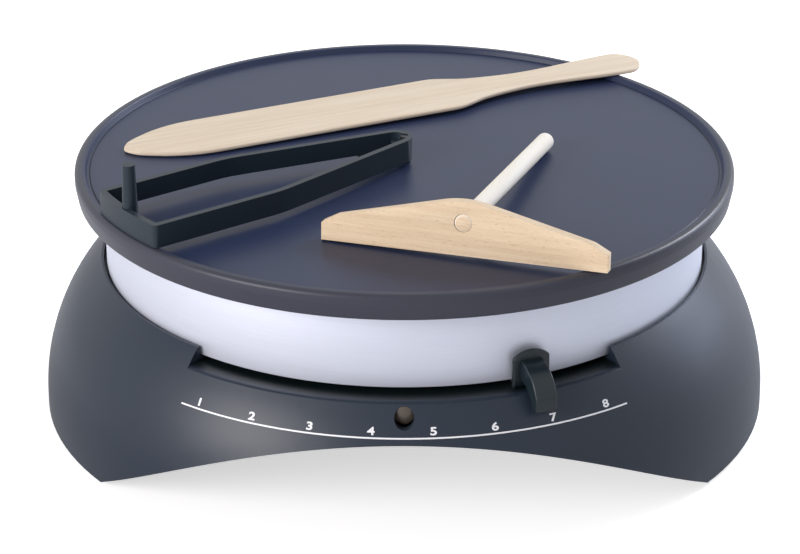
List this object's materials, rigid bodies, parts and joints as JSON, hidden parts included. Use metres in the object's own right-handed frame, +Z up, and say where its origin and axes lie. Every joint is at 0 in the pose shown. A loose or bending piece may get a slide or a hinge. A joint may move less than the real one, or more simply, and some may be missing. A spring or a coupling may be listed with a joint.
{
  "type": "electric crepe maker",
  "caption": "Round cast cooking plate with a raised bead on an arched base, with a lever thermostat, pivoting batter spreader, wooden spatula and batter rake.",
  "frame": {"origin": "on the plate's axis, at the level of the surface it stands on", "axes": "+Z up the plate's axis, +X to the right along the base's longest extent, -Y to the front, where the lever is"},
  "size_m": [0.384, 0.3592, 0.169],
  "materials": {
    "base_plastic": "fine moulded texture, dark charcoal",
    "cover_plastic": "moulded, black",
    "fastener_steel": "zinc plated",
    "foot_rubber": "matt black",
    "plate_coating": "cast, with a dark blue-grey non-stick coating",
    "band_steel": "bright, finely brushed round the band",
    "pan_metal": "bright pressed sheet",
    "element_sheath": "annealed, dull",
    "terminal_ceramic": "unglazed white",
    "thermostat_plastic": "moulded, dark brown",
    "lens_clear": "clear, faintly brown",
    "lamp_glass": "clear",
    "gland_plastic": "moulded, black",
    "knob_plastic": "moulded, black satin",
    "spreader_plastic": "moulded, black satin",
    "beech": "sanded, unfinished",
    "beech_dowel": "sanded, unfinished"
  },
  "bodies": {
    "appliance": {"base_shell": "base_plastic", "bottom_cover": "cover_plastic", "cover_screws": "fastener_steel", "foot_front_right": "foot_rubber", "foot_back_right": "foot_rubber", "foot_back_left": "foot_rubber", "foot_front_left": "foot_rubber", "cooking_plate": "plate_coating", "metal_band": "band_steel", "reflector_pan": "pan_metal", "plate_studs": "fastener_steel", "stud_nuts": "fastener_steel", "spacer_tubes": "fastener_steel", "heating_element": "element_sheath", "terminal_beads": "terminal_ceramic", "element_clips": "fastener_steel", "thermostat_bracket": "fastener_steel", "thermostat_body": "thermostat_plastic", "thermal_fuse": "pan_metal", "indicator_lens": "lens_clear", "indicator_lamp": "lamp_glass", "lamp_holder": "cover_plastic", "terminal_block": "terminal_ceramic", "cord_gland": "gland_plastic"},
    "lever": {"thermostat_spindle": "fastener_steel", "spindle_nut": "fastener_steel", "lever_arm": "fastener_steel", "lever_knob": "knob_plastic"},
    "pivot": {"pivot_pin": "fastener_steel"},
    "spreader": {"spreader_frame": "spreader_plastic"},
    "spatula": {"spatula": "beech"},
    "rake": {"rake_head": "beech", "rake_handle": "beech_dowel"}
  },
  "joints": [
    {"name": "lever_turn", "type": "hinge", "parent": "appliance", "child": "lever", "pos_m": [0, 0, 0.0767], "axis": [0, 0, 1], "range_deg": [-57.9, 13.1]},
    {"name": "pin_lift", "type": "slide", "parent": "appliance", "child": "pivot", "axis": [0, 0, 1], "range_m": [0, 0.08]},
    {"name": "spreader_turn", "type": "hinge", "parent": "pivot", "child": "spreader", "pos_m": [0, 0, 0.1403], "axis": [0, 0, 1], "range_deg": [-21, 15]},
    {"name": "spatula_lift", "type": "slide", "parent": "appliance", "child": "spatula", "axis": [0, 0, 1], "range_m": [0, 0.1]},
    {"name": "rake_lift", "type": "slide", "parent": "appliance", "child": "rake", "axis": [0, 0, 1], "range_m": [0, 0.1]}
  ]
}
